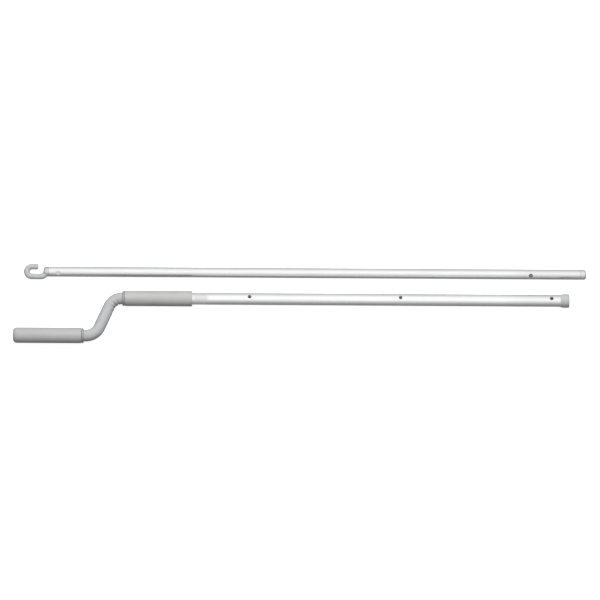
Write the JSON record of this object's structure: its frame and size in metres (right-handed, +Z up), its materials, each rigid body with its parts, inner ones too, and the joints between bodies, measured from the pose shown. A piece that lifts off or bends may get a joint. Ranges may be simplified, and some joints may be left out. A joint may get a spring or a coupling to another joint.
{
  "type": "hand crank pole",
  "caption": "Hand crank pole in two separate sections: a cranked tube with turning grips and lock holes, and a hook rod with a snap button.",
  "frame": {"origin": "on the surface the object lies on, under the middle of its box", "axes": "+X along both sections towards the open collar and the rod's tip, +Y from the crank section to the hook rod, +Z up"},
  "size_m": [1.1924, 0.1764, 0.0325],
  "materials": {
    "grey_coat": "matte powder coat, light grey",
    "aluminium_tube": "satin anodised, drawn along its length",
    "grip_plastic": "soft matte grey with a fine grain",
    "hard_plastic": "moulded, matte grey",
    "collar_plastic": "moulded, satin grey",
    "zinc_steel": "zinc plated, dull",
    "plug_metal": "turned, dull grey",
    "spring_steel": "bright spring steel",
    "button_steel": "polished dark steel"
  },
  "bodies": {
    "crank": {"crank_arm": "grey_coat", "outer_tube": "aluminium_tube", "joint_sleeve": "aluminium_tube", "joint_pin_arm": "spring_steel", "joint_pin_tube": "spring_steel", "upper_retaining_ring": "spring_steel", "mouth_collar": "collar_plastic", "lower_end_plug": "hard_plastic", "lower_end_washer": "zinc_steel", "lower_end_screw": "zinc_steel"},
    "lower_grip": {"lower_grip_liner": "hard_plastic", "lower_grip_sleeve": "grip_plastic"},
    "upper_grip": {"upper_grip_liner": "hard_plastic", "upper_grip_sleeve": "grip_plastic"},
    "hook_rod": {"rod_tube": "aluminium_tube", "hook": "zinc_steel", "hook_plug": "plug_metal", "tip_plug": "plug_metal", "snap_spring": "spring_steel"},
    "lock_button": {"snap_button": "button_steel"}
  },
  "joints": [
    {"name": "lower_grip_spin", "type": "hinge", "parent": "crank", "child": "lower_grip", "pos_m": [-0.5227, -0.07197, 0.01625], "axis": [1, 0, 0], "continuous": true},
    {"name": "upper_grip_spin", "type": "hinge", "parent": "crank", "child": "upper_grip", "pos_m": [-0.2975, 0.01093, 0.01625], "axis": [1, 0, 0], "continuous": true},
    {"name": "hook_rod_slide", "type": "slide", "parent": "crank", "child": "hook_rod", "axis": [1, 0, 0], "range_m": [0, 0.6288]},
    {"name": "lock_button_press", "type": "slide", "parent": "hook_rod", "child": "lock_button", "axis": [0, 0.5807, -0.8141], "range_m": [0, 0.0042], "stiffness_N_per_m": 1500, "springref_m": -0.004, "deforming": ["snap_spring"]}
  ]
}
